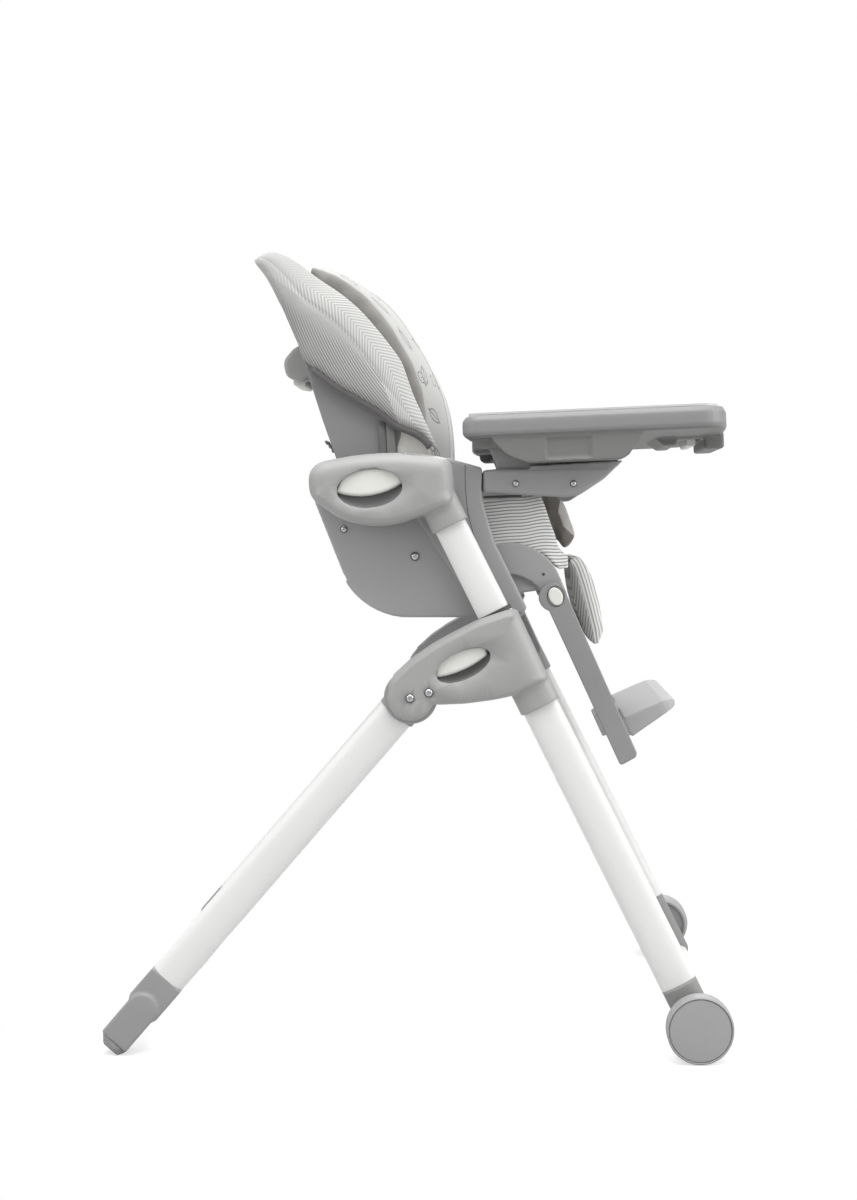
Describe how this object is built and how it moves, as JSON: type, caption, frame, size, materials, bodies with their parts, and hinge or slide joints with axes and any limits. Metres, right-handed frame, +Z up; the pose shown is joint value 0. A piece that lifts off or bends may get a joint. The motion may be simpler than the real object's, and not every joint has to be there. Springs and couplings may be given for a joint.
{
  "type": "baby high chair",
  "caption": "Folding baby high chair with telescopic front legs on wheels, reclining padded seat, sliding tray and raising footrest.",
  "frame": {"origin": "on the floor, at the middle of the chair's overall length and width", "axes": "+X the way the child faces, +Y the child's left, +Z up"},
  "size_m": [0.8289, 0.575, 1.0699],
  "materials": {
    "white_tube": "satin powder coat",
    "grey_plastic": "fine moulded texture",
    "dark_plastic": "matte",
    "white_plastic": "satin",
    "steel": "polished",
    "soft_tip": "matte",
    "striped_fabric": "woven, fine grey and white stripes",
    "printed_fabric": "woven, pale with a small print",
    "taupe_fabric": "brushed",
    "webbing": "woven webbing"
  },
  "bodies": {
    "base": {"front_leg_left": "white_tube", "front_leg_right": "white_tube", "front_leg_bushes": "dark_plastic", "front_crossbar": "white_tube", "front_shoe_left": "grey_plastic", "front_shoe_right": "grey_plastic", "wheel_axles": "steel", "hub_outer_left": "grey_plastic", "hub_outer_right": "grey_plastic", "hub_inner_left": "grey_plastic", "hub_inner_right": "grey_plastic", "fold_pivots": "steel", "hub_screws": "steel"},
    "wheel_left": {"wheel_left": "grey_plastic", "wheel_cap_left": "grey_plastic"},
    "wheel_right": {"wheel_right": "grey_plastic", "wheel_cap_right": "grey_plastic"},
    "rear_frame": {"rear_leg_left": "white_tube", "rear_leg_right": "white_tube", "rear_socket_left": "grey_plastic", "rear_socket_right": "grey_plastic", "rear_crossbar": "white_tube", "rear_foot_left": "grey_plastic", "rear_foot_right": "grey_plastic", "rear_foot_pads": "soft_tip"},
    "fold_lever_left": {"fold_lever_left": "white_plastic"},
    "fold_lever_right": {"fold_lever_right": "white_plastic"},
    "carriage": {"seat_tube_left": "white_tube", "seat_tube_right": "white_tube", "seat_tube_glides": "dark_plastic", "carriage_outer_left": "grey_plastic", "carriage_outer_right": "grey_plastic", "carriage_inner_left": "grey_plastic", "carriage_inner_right": "grey_plastic", "seat_shell": "grey_plastic", "seat_screws": "steel", "recline_pivots": "steel", "armrest_left": "grey_plastic", "armrest_right": "grey_plastic", "seat_pad": "striped_fabric", "crotch_pad": "taupe_fabric", "harness_buckle": "dark_plastic"},
    "height_lever_left": {"height_lever_left": "white_plastic"},
    "height_lever_right": {"height_lever_right": "white_plastic"},
    "back": {"back_shell": "grey_plastic", "back_wing": "striped_fabric", "back_cushion": "printed_fabric", "harness_straps": "webbing", "recline_handle": "grey_plastic"},
    "recline_trigger": {"recline_trigger": "white_plastic"},
    "tray": {"tray_base": "grey_plastic"},
    "tray_insert": {"tray_insert": "white_plastic"},
    "tray_latch": {"tray_latch": "white_plastic"},
    "footrest": {"footrest_arm_left": "grey_plastic", "footrest_arm_right": "grey_plastic", "footrest_panel": "grey_plastic", "calf_pad": "striped_fabric"},
    "footrest_button_left": {"footrest_button_left": "white_plastic"},
    "footrest_button_right": {"footrest_button_right": "white_plastic"},
    "footplate": {"footplate": "grey_plastic"}
  },
  "joints": [
    {"name": "wheel_left_spin", "type": "hinge", "parent": "base", "child": "wheel_left", "pos_m": [0.354, 0.27, 0.043], "axis": [0, 1, 0], "continuous": true},
    {"name": "wheel_right_spin", "type": "hinge", "parent": "base", "child": "wheel_right", "pos_m": [0.354, -0.27, 0.043], "axis": [0, 1, 0], "continuous": true},
    {"name": "rear_leg_fold", "type": "hinge", "parent": "base", "child": "rear_frame", "pos_m": [-0.015, 0, 0.462], "axis": [0, -1, 0], "range_deg": [0, 67.2]},
    {"name": "fold_lever_left_pull", "type": "slide", "parent": "base", "child": "fold_lever_left", "axis": [-0.4226, 0, 0.9063], "range_m": [0, 0.006], "stiffness_N_per_m": 900, "springref_m": -0.003},
    {"name": "fold_lever_right_pull", "type": "slide", "parent": "base", "child": "fold_lever_right", "axis": [-0.4226, 0, 0.9063], "range_m": [0, 0.006], "stiffness_N_per_m": 900, "springref_m": -0.003},
    {"name": "seat_height", "type": "slide", "parent": "base", "child": "carriage", "axis": [0.4462, 0, -0.8949], "range_m": [0, 0.12]},
    {"name": "height_lever_left_pull", "type": "slide", "parent": "carriage", "child": "height_lever_left", "axis": [-0.1045, 0, 0.9945], "range_m": [0, 0.005], "stiffness_N_per_m": 900, "springref_m": -0.003},
    {"name": "height_lever_right_pull", "type": "slide", "parent": "carriage", "child": "height_lever_right", "axis": [-0.1045, 0, 0.9945], "range_m": [0, 0.005], "stiffness_N_per_m": 900, "springref_m": -0.003},
    {"name": "back_recline", "type": "hinge", "parent": "carriage", "child": "back", "pos_m": [-0.013, 0, 0.642], "axis": [0, -1, 0], "range_deg": [0, 30]},
    {"name": "recline_trigger_squeeze", "type": "slide", "parent": "back", "child": "recline_trigger", "axis": [0, 0, 1], "range_m": [0, 0.006], "stiffness_N_per_m": 700, "springref_m": -0.003},
    {"name": "tray_slide", "type": "slide", "parent": "carriage", "child": "tray", "axis": [0.999, 0, 0.0436], "range_m": [0, 0.26]},
    {"name": "tray_insert_lift", "type": "slide", "parent": "tray", "child": "tray_insert", "axis": [-0.0436, 0, 0.999], "range_m": [0, 0.08]},
    {"name": "tray_latch_pull", "type": "slide", "parent": "tray", "child": "tray_latch", "axis": [0.999, 0, 0.0436], "range_m": [0, 0.007], "stiffness_N_per_m": 600, "springref_m": -0.003},
    {"name": "footrest_raise", "type": "hinge", "parent": "carriage", "child": "footrest", "pos_m": [0.173, 0, 0.589], "axis": [0, -1, 0], "range_deg": [0, 50]},
    {"name": "footrest_button_left_press", "type": "slide", "parent": "footrest", "child": "footrest_button_left", "axis": [0, -1, 0], "range_m": [0, 0.003], "stiffness_N_per_m": 500, "springref_m": -0.003},
    {"name": "footrest_button_right_press", "type": "slide", "parent": "footrest", "child": "footrest_button_right", "axis": [0, 1, 0], "range_m": [0, 0.003], "stiffness_N_per_m": 500, "springref_m": -0.003},
    {"name": "footplate_height", "type": "slide", "parent": "footrest", "child": "footplate", "axis": [-0.4147, 0, 0.91], "range_m": [0, 0.04]}
  ]
}
